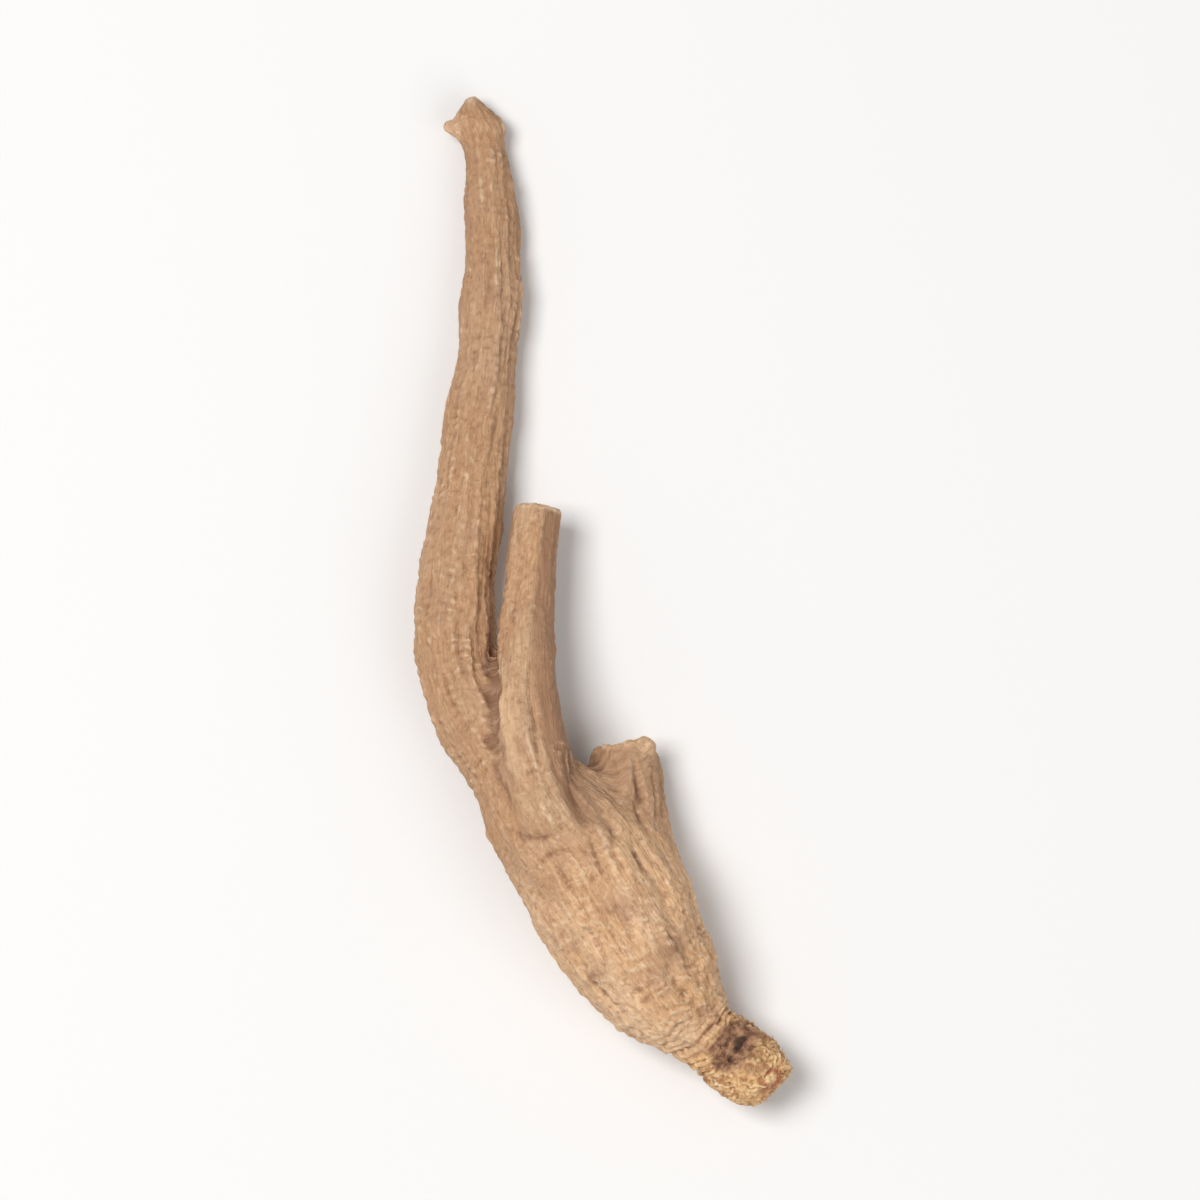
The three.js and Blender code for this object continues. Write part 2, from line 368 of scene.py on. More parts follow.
def shaken(points, amount, size, seed):
    """Points moved about by three noises, one for each axis."""
    moves = [gradient_noise(points / size, seed + axis) for axis in range(3)]
    return points + amount * np.stack(moves, axis=1)


def rise(value, low, high):
    """Eased step from 0 at low to 1 at high."""
    share = np.clip((value - low) / (high - low), 0.0, 1.0)
    return share * share * (3.0 - 2.0 * share)


# Limbs

def trace_limb(stations, furrows, rounding, seed):
    """A smooth curve through the stations, for centre and radius, with its frame and travelled length.

    Each span is a cubic whose end slopes are half the step between the neighbouring stations.
    """
    before = 2.0 * stations[0] - stations[1]
    after = 2.0 * stations[-1] - stations[-2]
    knots = np.vstack([before, stations, after])
    slopes = 0.5 * (knots[2:] - knots[:-2])
    share = np.linspace(0.0, 1.0, SAMPLES_PER_SPAN, endpoint=False)[None, :, None]
    start, end = stations[:-1, None], stations[1:, None]
    start_slope, end_slope = slopes[:-1, None], slopes[1:, None]
    square = 3.0 * (end - start) - 2.0 * start_slope - end_slope
    cube = 2.0 * (start - end) + start_slope + end_slope
    curve = start + start_slope * share + square * share ** 2 + cube * share ** 3
    curve = np.vstack([curve.reshape(-1, 4), stations[-1:]])
    centre, radius = curve[:, :3], curve[:, 3]
    steps = np.linalg.norm(np.diff(centre, axis=0), axis=1)
    travelled = np.concatenate([[0.0], np.cumsum(steps)])
    along = np.gradient(centre, travelled, axis=0)
    along /= np.linalg.norm(along, axis=1, keepdims=True)
    side = np.cross(along, [0.0, 0.0, 1.0])
    side /= np.linalg.norm(side, axis=1, keepdims=True)
    return SimpleNamespace(
        centre=centre, radius=radius, travelled=travelled, along=along, side=side,
        top=np.cross(side, along), taper=np.gradient(radius, travelled), length=travelled[-1],
        furrows=furrows, rounding=rounding, seed=seed, crowned=False,
    )


def wrinkle(turns):
    """Sharp valleys and round crests: the size of a sine, less its mean."""
    return np.abs(np.sin(turns)) - 2.0 / math.pi


def furrow_relief(limb, travelled, angle, radius):
    """Long furrows: two wrinkle waves round the section, which wander as they run along the limb."""
    coarse, fine, phase = limb.furrows
    slow = SLOW_WANDER * np.sin(travelled / 9.0 + phase)
    quick = QUICK_WANDER * np.sin(travelled / 4.3 + 2.0 * phase)
    broad = wrinkle(coarse * (angle + slow + quick) + phase)
    narrow = wrinkle(fine * (angle - slow + quick) + 2.3 * phase)
    depth = FURROW_DEPTH * np.sqrt(np.maximum(radius, 0.0))
    return depth * (BROAD_FURROWS * broad + (1.0 - BROAD_FURROWS) * narrow)


def ring_relief(travelled, angle):
    """Rings that crowd the shoulder: a wrinkle wave along the limb that wobbles round it and dies out."""
    past = travelled - RING_START
    fade = np.clip(past / RING_RISE, 0.0, 1.0) * np.clip(1.0 - past / RING_FADE, 0.0, 1.0)
    wobble = 0.5 * np.sin(2.0 * angle + 0.7) + 0.35 * np.sin(5.0 * angle + 2.1)
    return RING_DEPTH * fade * wrinkle(math.pi * past / RING_PITCH + wobble)


def crown_relief(travelled, angle):
    """Lumps of the crown: two waves that cross each other, gone where the shoulder starts."""
    share = np.clip(1.0 - travelled / CROWN_LENGTH, 0.0, 1.0)
    lumps = np.sin(3.0 * angle + 1.2 * travelled) + np.sin(5.0 * angle - 1.7 * travelled + 1.0)
    return CROWN_LUMP * np.minimum(1.0, 2.0 * share) * lumps


def skin_reach(limb, travelled, angle, radius):
    """Distance of the skin from the path: the radius with its lobes, its swellings and its main relief."""
    lobes = TWO_LOBES * np.cos(2.0 * angle + 0.6) + THREE_LOBES * np.cos(3.0 * angle + 2.0)
    step = travelled / SWELL_STEP
    swell = np.sin(step + 1.7 * np.sin(step / 3.0)) + 0.7 * np.sin(2.0 * angle + step / 1.5)
    relief = furrow_relief(limb, travelled, angle, radius)
    if limb.crowned:
        relief = relief * np.clip(travelled / RING_START, 0.0, 1.0)
        relief = relief + ring_relief(travelled, angle) + crown_relief(travelled, angle)
    return radius * (1.0 + lobes + SWELL_SHARE * swell) + relief


def dome(from_end, length):
    """Quarter-round rise from almost 0 at an end to 1 at the dome's length from it."""
    short = np.clip(1.0 - from_end / length, 0.0, 1.0)
    return np.maximum(0.02, np.sqrt(1.0 - short * short))


def sweep_limb(limb):
    """Points of a limb's tube: its skin reach carried round every path sample, and a pole at each end."""
    angle = np.linspace(0.0, 2.0 * math.pi, SWEEP_SIDES, endpoint=False)[None, :]
    reach = skin_reach(limb, limb.travelled[:, None], angle, limb.radius[:, None])
    start_round, end_round = limb.rounding
    rounded = dome(limb.travelled, start_round) * dome(limb.length - limb.travelled, end_round)
    across = np.cos(angle)[..., None] * limb.side[:, None]
    across = across + SECTION_HEIGHT * np.sin(angle)[..., None] * limb.top[:, None]
    rings = limb.centre[:, None] + (reach * rounded[:, None])[..., None] * across
    return np.vstack([rings.reshape(-1, 3), limb.centre[:1], limb.centre[-1:]])


def tube_faces(rings, sides):
    """Faces of a closed tube, four-sided between its rings and three-sided round the pole of each end."""
    ring, spoke = np.meshgrid(np.arange(rings - 1), np.arange(sides), indexing="ij")
    following = (spoke + 1) % sides
    low, high = ring * sides, (ring + 1) * sides
    walls = np.stack([low + spoke, high + spoke, high + following, low + following], axis=-1)
    edge = np.arange(sides)
    turned = (edge + 1) % sides
    end_ring = (rings - 1) * sides
    start_cap = np.stack([np.full(sides, rings * sides), edge, turned], axis=1)
    end_cap = np.stack([np.full(sides, rings * sides + 1), end_ring + turned, end_ring + edge], axis=1)
    return walls.reshape(-1, 4), np.vstack([start_cap, end_cap])


def limb_place(limb, points):
    """Travelled length, angle, distance from the path and limb radius at each point.

    The nearest path sample is found first, and then a step along its direction.
    """
    centre = limb.centre.astype(np.float32)
    nearness = points.astype(np.float32) @ (-2.0 * centre.T)
    nearness += (centre ** 2).sum(axis=1)
    nearest = np.argmin(nearness, axis=1)
    gap = points - limb.centre[nearest]
    step = (gap * limb.along[nearest]).sum(axis=1)
    across = (gap * limb.side[nearest]).sum(axis=1)
    above = (gap * limb.top[nearest]).sum(axis=1) / SECTION_HEIGHT
    radius = limb.radius[nearest] + limb.taper[nearest] * np.clip(step, -0.5, 0.5)
    return SimpleNamespace(
        travelled=limb.travelled[nearest] + step,
        angle=np.arctan2(above, across),
        distance=np.hypot(across, above),
        radius=radius,
    )


def neck_distance(place):
    """Length past the groove round the neck, which runs askew and wobbles."""
    wobble = 0.25 * np.sin(2.0 * place.angle + 1.0) + 0.15 * np.sin(5.0 * place.angle)
    return place.travelled - NECK_AT - NECK_SKEW * (1.0 - np.cos(place.angle)) - wobble


def soft_max(first, second, blend):
    """The larger of two fields, rounded over a blend length where they are close."""
    close = np.clip(1.0 - np.abs(first - second) / blend, 0.0, 1.0)
    return np.maximum(first, second) + 0.25 * blend * close * close


def soft_min(first, second, blend):
    """The smaller of two fields, rounded the same way."""
    return -soft_max(-first, -second, blend)


def limb_field(limb, place):
    """Free distance to the limb's skin, below 0 inside, with both ends cut across and rounded."""
    start_round, end_round = limb.rounding
    field = place.distance - skin_reach(limb, place.travelled, place.angle, place.radius)
    field = soft_max(field, -place.travelled, start_round)
    return soft_max(field, place.travelled - limb.length, end_round)


def across_and_along(gap):
    """How far a gap reaches across the crown and along it, as seen from above."""
    turn_cos, turn_sin = math.cos(SCAR_TURN), math.sin(SCAR_TURN)
    across = turn_cos * gap[:, 0] + turn_sin * gap[:, 1]
    along = turn_cos * gap[:, 1] - turn_sin * gap[:, 0]
    return across, along


def scar_field(points):
    """Free distance to the egg-shaped space of the stem scar, below 0 inside it."""
    gap = points - SCAR_CENTRE
    turned = np.stack([*across_and_along(gap), gap[:, 2]], axis=1)
    return (np.linalg.norm(turned / SCAR_HALF_SIZE, axis=1) - 1.0) * SCAR_HALF_SIZE.min()


main = trace_limb(MAIN_STATIONS, (6, 10, 0.4), (2.2, 2.2), 0)
main.crowned = True
slim_leg = trace_limb(SLIM_LEG_STATIONS, (3, 5, 3.1), (3.0, 0.7), 20)
stub = trace_limb(STUB_STATIONS, (4, 6, 5.0), (3.0, 0.8), 40)
stub_rootlet = trace_limb(STUB_ROOTLET_STATIONS, (3, 4, 0.0), (0.6, 0.6), 60)
tip_rootlet = trace_limb(TIP_ROOTLET_STATIONS, (3, 4, 0.0), (0.6, 0.6), 80)
limbs = [main, slim_leg, stub, stub_rootlet, tip_rootlet]

# By their order in that list: limbs that end in a cut, and which limb each side limb grows from
BROKEN_LIMBS = (1, 2)
CARRIERS = {1: 0, 2: 0, 3: 2, 4: 0}


def root_field(points):
    """The smooth union of the limbs less the stem scar, with each limb's own field and place."""
    places = [limb_place(limb, points) for limb in limbs]
    fields = [limb_field(limb, place) for limb, place in zip(limbs, places)]
    whole = fields[0]
    for field, limb in zip(fields[1:], limbs[1:]):
        whole = soft_min(whole, field, min(LIMB_BLEND, 1.2 * limb.radius.max()))
    return soft_max(whole, -scar_field(points), SCAR_BLEND), fields, places


# Meshes

def mesh_from(name, points, faces):
    """A mesh from points in millimetres and a list of face arrays."""
    mesh = bpy.data.meshes.new(name)
    mesh.from_pydata((points * MM).tolist(), [], [face for block in faces for face in block.tolist()])
    mesh.update()
    return mesh


def add_object(name, mesh):
    """A mesh as an object of the scene, at the origin."""
    piece = bpy.data.objects.new(name, mesh)
    bpy.context.scene.collection.objects.link(piece)
    return piece


def read(items, name, width, kind=float):
    """One property of all items of a mesh, in rows."""
    flat = np.empty(len(items) * width, kind)
    items.foreach_get(name, flat)
    return flat.reshape(-1, width)


def read_points(mesh):
    """All points of a mesh, in millimetres."""
    return read(mesh.vertices, "co", 3) / MM


def write_points(mesh, points):
    """Points in millimetres back into the mesh."""
    mesh.vertices.foreach_set("co", (points * MM).ravel())
    mesh.update()


def read_normals(mesh):
    """The outward direction at every point of a mesh."""
    return read(mesh.vertex_normals, "vector", 3)


def read_edges(mesh):
    """The two point numbers of every edge."""
    return read(mesh.edges, "vertices", 2, np.int32)


def neighbour_mean(edges, points):
    """The mean of every point's neighbours, summed along the edges."""
    count = len(points)
    first, second = edges.T
    shared = np.bincount(first, minlength=count) + np.bincount(second, minlength=count)
    columns = [
        np.bincount(first, column[second], count) + np.bincount(second, column[first], count)
        for column in points.T
    ]
    return np.stack(columns, axis=1) / shared[:, None]


def store(mesh, name, values):
    """Keeps one vector for every point of a mesh, for the finish to read."""
    kept = mesh.attributes.new(name, "FLOAT_VECTOR", "POINT")
    kept.data.foreach_set("vector", values.astype(np.float32).ravel())


def swept_limbs():
    """The swept tubes of all limbs in one mesh, still running through each other."""
    points, faces, count = [], [], 0
    for limb in limbs:
        points.append(sweep_limb(limb))
        faces += [block + count for block in tube_faces(len(limb.centre), SWEEP_SIDES)]
        count += len(points[-1])
    return mesh_from("swept_limbs", np.vstack(points), faces)


def fused(mesh):
    """One closed skin round everything that the mesh encloses, as even squares on a voxel grid."""
    carrier = add_object("fusing", mesh)
    fuse = carrier.modifiers.new("fuse", "REMESH")
    fuse.mode = "VOXEL"
    fuse.voxel_size = VOXEL * MM
    graph = bpy.context.evaluated_depsgraph_get()
    skin = bpy.data.meshes.new_from_object(carrier.evaluated_get(graph))
    bpy.data.objects.remove(carrier)
    bpy.data.meshes.remove(mesh)
    skin.name = "root_skin"
    return skin


def refine_crown(mesh):
    """Halves the edges of the crown, whose broken end needs finer relief than the rest."""
    place = limb_place(main, read_points(mesh))
    fine = (neck_distance(place) < REFINED_PAST_NECK) & (place.distance < 2.0 * place.radius)
    split = np.flatnonzero(fine[read_edges(mesh)].all(axis=1))
    work = bmesh.new()
    work.from_mesh(mesh)
    work.edges.ensure_lookup_table()
    edges = [work.edges[edge] for edge in split]
    bmesh.ops.subdivide_edges(work, edges=edges, cuts=1, use_grid_fill=True)
    work.to_mesh(mesh)
    work.free()


def union_slope(points, field):
    """Direction in which the union's field grows, from its change over a short step along each axis."""
    steps = SLOPE_STEP * np.eye(3)
    return np.stack([root_field(points + step)[0] - field for step in steps], axis=1) / SLOPE_STEP


def settle_on_union(mesh, rounds):
    """Moves every point down the union's slope until it is on the surface, and evens out the spacing."""
    points = read_points(mesh)
    edges = read_edges(mesh)
    for _ in range(rounds):
        field = root_field(points)[0]
        slope = union_slope(points, field)
        size = np.linalg.norm(slope, axis=1, keepdims=True) + 1e-6
        outward = slope / size
        step = np.clip(field / np.maximum(size[:, 0], 0.3), -PROJECTION_STEP, PROJECTION_STEP)
        points -= step[:, None] * outward
        drift = neighbour_mean(edges, points) - points
        drift -= (drift * outward).sum(axis=1, keepdims=True) * outward
        points += 0.5 * drift
    write_points(mesh, points)
    return points


# Relief

def grain_place(place):
    """Length along the limb, and the two coordinates across it, for noise that follows the grain."""
    radius = np.maximum(place.radius, 0.3)
    return np.stack([place.travelled, radius * np.cos(place.angle), radius * np.sin(place.angle)], axis=1)


def skin_relief(limb, place):
    """Fine relief of one limb: lumps, long, short and cross creases, crinkles, and faint rings.

    The rings crowd the crowned limb's shoulder and leg. On the others, cross creases crowd the base.
    """
    grain = grain_place(place)
    bent = grain.copy()
    bent[:, 0] += 0.9 * gradient_noise(grain / (4.0, 2.5, 2.5), 9 + limb.seed) + 0.22 * grain[:, 1]

    def noise(along_size, around_size, seed, coordinates=grain):
        return gradient_noise(coordinates / (along_size, around_size, around_size), seed + limb.seed)

    if limb.crowned:
        shoulder = rise(neck_distance(place), 0.0, 1.5) * (1.0 - rise(place.travelled, 16.0, 32.0))
        leg = rise(place.travelled, 36.0, 42.0) * (1.0 - 0.5 * rise(place.travelled, 56.0, 72.0))
        crowded = np.maximum(shoulder, 0.8 * leg)
    else:
        crowded = 1.0 - rise(place.travelled, 6.0, 16.0)
    patch = rise(noise(9.0, 5.0, 1), -0.35, 0.35)
    cross_patch = np.maximum(rise(noise(7.0, 5.0, 2), 0.0, 0.45), crowded)
    relief = LUMP_HEIGHT * noise(5.0, 3.6, 3)
    relief -= LONG_CREASE * patch * bell(noise(9.0, 1.7, 4), 0.22)
    relief -= SHORT_CREASE * bell(noise(3.4, 0.9, 5), 0.28)
    relief -= CROSS_CREASE * cross_patch * bell(noise(0.9, 2.2, 6, bent), 0.26)
    relief += CRINKLE_HEIGHT * (np.abs(noise(1.5, 1.1, 8, bent)) - 0.3)
    relief += FINE_LUMP_HEIGHT * noise(0.8, 0.6, 7, bent)
    if limb.crowned:
        waves = wrinkle(math.pi * bent[:, 0] / RINGLET_PITCH + 1.4 * noise(2.2, 1.5, 10))
        relief += RINGLET_HEIGHT * crowded * rise(noise(2.6, 2.2, 11), -0.5, 0.4) * waves
    return relief * np.minimum(1.0, np.maximum(place.radius, 0.3) / 2.5)


def crown_detail(place, points, scar):
    """Crown: a thin groove round the neck, a few uneven rings before it, and an end of crumbling bark."""
    past_neck = neck_distance(place)
    grain = grain_place(place)
    uneven = gradient_noise(grain / (2.6, 1.6, 1.6), 304)
    uneven += 0.35 * gradient_noise(grain / (1.2, 0.7, 0.7), 305)
    patchy = rise(gradient_noise(grain / (1.6, 2.2, 2.2), 306), -0.8, 0.2)
    collar = patchy * rise(past_neck, -3.6, -2.6) * (1.0 - rise(past_neck, 0.4, 1.2))
    rings = wrinkle(math.pi * past_neck / COLLAR_PITCH + 1.6 * uneven)
    crumbling = 1.0 - rise(past_neck, -3.6, -1.4)
    bent = shaken(points, 0.35, 0.9, 307)
    chunks = 0.5 - np.abs(gradient_noise(bent / (1.5, 1.2, 1.3), 302))
    flakes = np.abs(gradient_noise(bent / (0.8, 0.55, 0.6), 303)) - 0.3
    grit = gradient_noise(points / 0.36, 301)
    relief = COLLAR_HEIGHT * collar * rings - GROOVE_DEPTH * bell(past_neck, GROOVE_WIDTH)
    relief += crumbling * (CHUNK_HEIGHT * chunks + FLAKE_HEIGHT * flakes + GRIT_HEIGHT * grit)
    near = 1.0 - rise(past_neck, 0.6, 1.6)
    return near * relief * (1.0 - 0.7 * scar)


def oval(points, centre, half_size):
    """Distance from a centre as seen from above, across and along the crown, 1 on the oval's edge."""
    across, along = across_and_along(points[:, :2] - centre)
    return np.hypot(across / half_size[0], along / half_size[1])


def end_roughness(limb, place, points):
    """A broken end: coarse and fine grit on the last of the limb."""
    last = rise(place.travelled, limb.length - 1.2, limb.length - 0.2)
    grit = CUT_GRIT * gradient_noise(points / 0.9, 311) + FINE_CUT_GRIT * gradient_noise(points / 0.45, 312)
    return last * grit


def skin_point(limb, travelled, angle):
    """The point of a limb's skin at a travelled length and an angle."""
    at = np.searchsorted(limb.travelled, travelled)
    reach = skin_reach(limb, limb.travelled[at], angle, limb.radius[at])
    return limb.centre[at] + reach * (
        math.cos(angle) * limb.side[at] + SECTION_HEIGHT * math.sin(angle) * limb.top[at]
    )


def scatter_warts():
    """Seeded places on the limbs for rootlet scars: their centres and radii."""
    draw = np.random.default_rng(WART_SEED)
    carriers = [main, main, main, slim_leg, stub]
    centres = []
    for count in range(WART_COUNT):
        limb = carriers[count % len(carriers)]
        travelled = limb.length * draw.uniform(*WART_SPAN)
        centres.append(skin_point(limb, travelled, draw.uniform(0.0, 2.0 * math.pi)))
    return np.array(centres), draw.uniform(0.5, 1.0, WART_COUNT)


def wart_relief(points):
    """Rootlet scars: low round bumps with a dimple in the middle. Also returns their mask."""
    relief = np.zeros(len(points))
    mask = np.zeros(len(points))
    for centre, size in zip(*scatter_warts()):
        bump = spot(points, centre, size)
        dimple = spot(points, centre, DIMPLE_SHARE * size)
        relief += size * (WART_HEIGHT * bump - DIMPLE_DEPTH * dimple)
        mask = np.maximum(mask, bump)
    return relief, mask


def crease_depth(points, line):
    """Depth of a crease: a curve through start, middle and end, bell-shaped across, fading at both ends."""
    start, middle, end = (np.array(point) for point in line[:3])
    width, depth = line[3:]
    share = np.linspace(0.0, 1.0, CREASE_SAMPLES)[:, None]
    bulge = middle - 0.5 * (start + end)
    curve = start * (1.0 - share) + end * share + 4.0 * bulge * share * (1.0 - share)
    away = ((points[:, None, :2] - curve[None]) ** 2).sum(axis=2)
    nearest = away.argmin(axis=1)
    fading = np.sin(math.pi * share[nearest, 0]) ** 0.8
    return depth * fading * np.exp(-away.min(axis=1) / width ** 2)


def limb_shares(fields, blend):
    """How much of each point belongs to each limb: more to the nearer skin, and 1 in all."""
    nearness = np.exp(-(np.stack(fields) - np.min(fields, axis=0)) / blend)
    return nearness / nearness.sum(axis=0)


def facing_up(normals):
    """1 where the skin faces up, 0 where it faces down or aside."""
    return rise(normals[:, 2], 0.05, 0.4)


def placed_relief(points):
    """Relief of the upper side at listed places: a knuckle, ridges and creases. Also the ridges."""
    moved = shaken(points, 0.45, 2.4, 331)
    creases = np.max([crease_depth(moved, line) for line in CREASES], axis=0)
    ridges = np.max([crease_depth(moved, line) for line in RIDGES], axis=0)
    knuckle = bell(oval(points, KNUCKLE_CENTRE, KNUCKLE_HALF_SIZE), 1.0)
    return KNUCKLE_HEIGHT * knuckle + ridges - creases, ridges


def raise_relief(mesh, points):
    """Raises all relief from the settled skin, each limb's share by how near its skin is."""
    _, fields, places = root_field(points)
    normals = read_normals(mesh)
    upper = facing_up(normals)
    shares = limb_shares(fields, PATTERN_BLEND)
    ragged = gradient_noise(points / 0.9, 321) + 0.6 * gradient_noise(points / 0.4, 322)
    stain_edge = oval(points, STAIN_CENTRE, STAIN_HALF_SIZE) + 0.16 * ragged
    scar = shares[0] * upper * (1.0 - rise(stain_edge, 0.60, 1.15))
    core_edge = oval(points, CORE_CENTRE, CORE_HALF_SIZE) + 0.55 * ragged
    core = rise(scar, 0.2, 0.6) * (1.0 - rise(core_edge, 0.3, 1.4))
    warts, wart_mask = wart_relief(points)
    placed, ridges = placed_relief(points)
    relief = sum(share * skin_relief(limb, place) for share, limb, place in zip(shares, limbs, places))
    relief *= rise(neck_distance(places[0]), -5.4, 0.0) * shares[0] + (1.0 - shares[0])
    relief += shares[0] * crown_detail(places[0], points, scar)
    for order in BROKEN_LIMBS:
        relief += shares[order] * end_roughness(limbs[order], places[order], points)
    relief += warts + upper * placed + SCAR_GRIT * scar * ragged - CORE_DEPTH * core
    for centre, size, height in KNOBS:
        relief += height * spot(points, centre, size)
    relief += spot(points, TUFT_CENTRE, TUFT_SIZE) * (TUFT_HEIGHT + TUFT_GRIT * ragged)
    raised = points + relief[:, None] * normals
    raised[:, 2] = np.maximum(raised[:, 2], 0.0)
    write_points(mesh, raised)
    return SimpleNamespace(
        points=relax_folds(mesh, FOLD_ROUNDS), fields=fields, shares=shares, places=places,
        warts=wart_mask, scar=scar, core=core, ridges=upper * ridges,
    )


def relax_folds(mesh, rounds):
    """Draws points to their neighbours' mean where the skin doubles back on itself."""
    edges = read_edges(mesh)
    for _ in range(rounds):
        points = read_points(mesh)
        agreement = np.linalg.norm(neighbour_mean(edges, read_normals(mesh)), axis=1)
        folded = 1.0 - rise(agreement, 0.55, 0.75)
        write_points(mesh, points + folded[:, None] * (neighbour_mean(edges, points) - points))
    return read_points(mesh)


def joined_grain(skin):
    """Grain coordinates of all limbs in one, each limb's shifted to fit its carrier's where they meet."""
    shares = limb_shares(skin.fields, GRAIN_BLEND)
    grain = shares[0][:, None] * grain_place(skin.places[0])
    for order, carrier in CARRIERS.items():
        own = grain_place(skin.places[order])
        shift = grain_place(skin.places[carrier]) - own
        meeting = np.abs(skin.fields[order] - skin.fields[carrier]) < 0.4
        grain += shares[order][:, None] * (own + shift[meeting].mean(axis=0))
    return grain


def hollow_depths(mesh, points, normals):
    """How deep each point lies under the smoothed skin, after a few rounds of smoothing and after many."""
    edges = read_edges(mesh)
    smooth = points
    depths = {}
    for count in range(1, BROAD_ROUNDS + 1):
        smooth = neighbour_mean(edges, smooth)
        depths[count] = ((smooth - points) * normals).sum(axis=1)
    return depths[FINE_ROUNDS], depths[BROAD_ROUNDS]


def skin_tone_and_painted_shade(skin, normals):
    """How dark the skin is: along the trunk and the slim leg, in dull patches, and painted shade on the
    slim leg's +x side and on the stub.
    """
    trunk_tone = TRUNK_TONE * rise(skin.places[0].travelled, 20.0, 36.0)
    trunk_tone += TIP_TONE * rise(skin.places[0].travelled, 60.0, main.length)
    # Painted shade on the slim leg's +x side
    slim_tone_and_painted_shade = SLIM_TONE + SLIM_SIDE_PAINTED_SHADE * rise(np.cos(skin.places[1].angle), 0.05, 0.55)
    # Painted shade on the stub, darker towards its end
    stub_painted_shade = STUB_PAINTED_SHADE * rise(skin.places[2].travelled, 4.0, 12.0)
    tone = skin.shares[0] * trunk_tone + skin.shares[1] * slim_tone_and_painted_shade + skin.shares[2] * stub_painted_shade
    for centre, half_size, strength in PATCHES:
        patch = bell(oval(skin.points, centre, half_size), 1.0)
        tone += strength * patch * facing_up(normals) * skin.shares[0]
    return tone


def store_marks(mesh, skin):
    """Keeps what the finish needs: grain coordinates, hollows at two sizes, tone with painted shade, and
    marked places, the ridges' painted highlight among them.
    """
    own = np.argmax(skin.shares, axis=0)
    normals = read_normals(mesh)
    fine, broad = hollow_depths(mesh, skin.points, normals)
    cut = np.zeros(len(own))
    for order in BROKEN_LIMBS:
        length = limbs[order].length
        end = rise(skin.places[order].travelled, length - 0.85, length - 0.35)
        cut = np.maximum(cut, (own == order) * end)
    stub_left = stub.length - skin.places[2].travelled
    masks = {
        "fine": fine,
        "broad": broad,
        # Tone, with painted shade on the stub and on the slim leg's +x side
        "tone": skin_tone_and_painted_shade(skin, normals),
        "crown": (own == 0) * (1.0 - rise(neck_distance(skin.places[0]), -1.4, 0.4)),
        "scar": skin.scar,
        "cut": cut,
        "red": spot(skin.points, RED_SPOT, RED_SIZE),
        "wart": skin.warts,
        "core": skin.core,
        # Ridges of the upper side, where a highlight is painted
        "painted_ridge_highlight": skin.ridges,
        "flake": spot(skin.points, PALE_SPOT, PALE_SIZE),
        "lip": (own == 2) * rise(stub_left, 0.2, 0.5) * (1.0 - rise(stub_left, 0.6, 1.2)),
    }
    store(mesh, "grain", joined_grain(skin))
    for name, parts in KEPT_MASKS.items():
        store(mesh, name, np.stack([masks[part] for part in parts], axis=1))


# The skin and its loose strands

root_mesh = fused(swept_limbs())
settle_on_union(root_mesh, PROJECTION_ROUNDS)
root_mesh = fused(root_mesh)
settle_on_union(root_mesh, REFINED_ROUNDS)
refine_crown(root_mesh)
settled = settle_on_union(root_mesh, REFINED_ROUNDS)
raised_skin = raise_relief(root_mesh, settled)
store_marks(root_mesh, raised_skin)
root_mesh.polygons.foreach_set("use_smooth", np.ones(len(root_mesh.polygons), bool))
root = add_object("root_skin", root_mesh)


def strand_mesh(starts, heads, bends, lengths, widths, depths):
    """Loose strands: flat ovals carried along start + head * t + bend * t squared, narrowing to the tip."""
    share = np.linspace(0.0, 1.0, STRAND_RINGS)[None, :, None]
    run = heads[:, None] * share + bends[:, None] * share ** 2
    path = starts[:, None] + lengths[:, None, None] * run
    along = heads[:, None] + 2.0 * bends[:, None] * share
    along /= np.linalg.norm(along, axis=2, keepdims=True)
    side = np.cross(along, bends[:, None] + (0.3, 0.2, 0.1))
    side /= np.linalg.norm(side, axis=2, keepdims=True)
    face = np.cross(side, along)
    turn = np.linspace(0.0, 2.0 * math.pi, STRAND_SIDES, endpoint=False)[None, None, :, None]
    narrowing = (1.0 - 0.6 * share ** 4)[:, :, None]
    wide = widths[:, None, None, None] * narrowing * np.cos(turn)
    deep = depths[:, None, None, None] * narrowing * np.sin(turn)
    rings = path[:, :, None] + wide * side[:, :, None] + deep * face[:, :, None]
    count = len(starts)
    points = np.concatenate([rings.reshape(count, -1, 3), path[:, :1], path[:, -1:]], axis=1)
    each = points.shape[1]
    shift = each * np.arange(count)[:, None, None]
    blocks = tube_faces(STRAND_RINGS, STRAND_SIDES)
    faces = [(block + shift).reshape(-1, block.shape[1]) for block in blocks]
    mesh = mesh_from("frayed_fibres", points.reshape(-1, 3), faces)
    length_share = np.concatenate([np.repeat(share[0, :, 0], STRAND_SIDES), [0.0, 1.0]])
    turns = np.concatenate([np.tile(turn.ravel(), STRAND_RINGS), [0.0, 0.0]])
    store(mesh, "grain", np.stack([
        np.tile(length_share, count) * np.repeat(lengths, each),
        np.repeat(np.arange(count) * 1.7, each),
        np.tile(turns, count),
    ], axis=1))
    return mesh


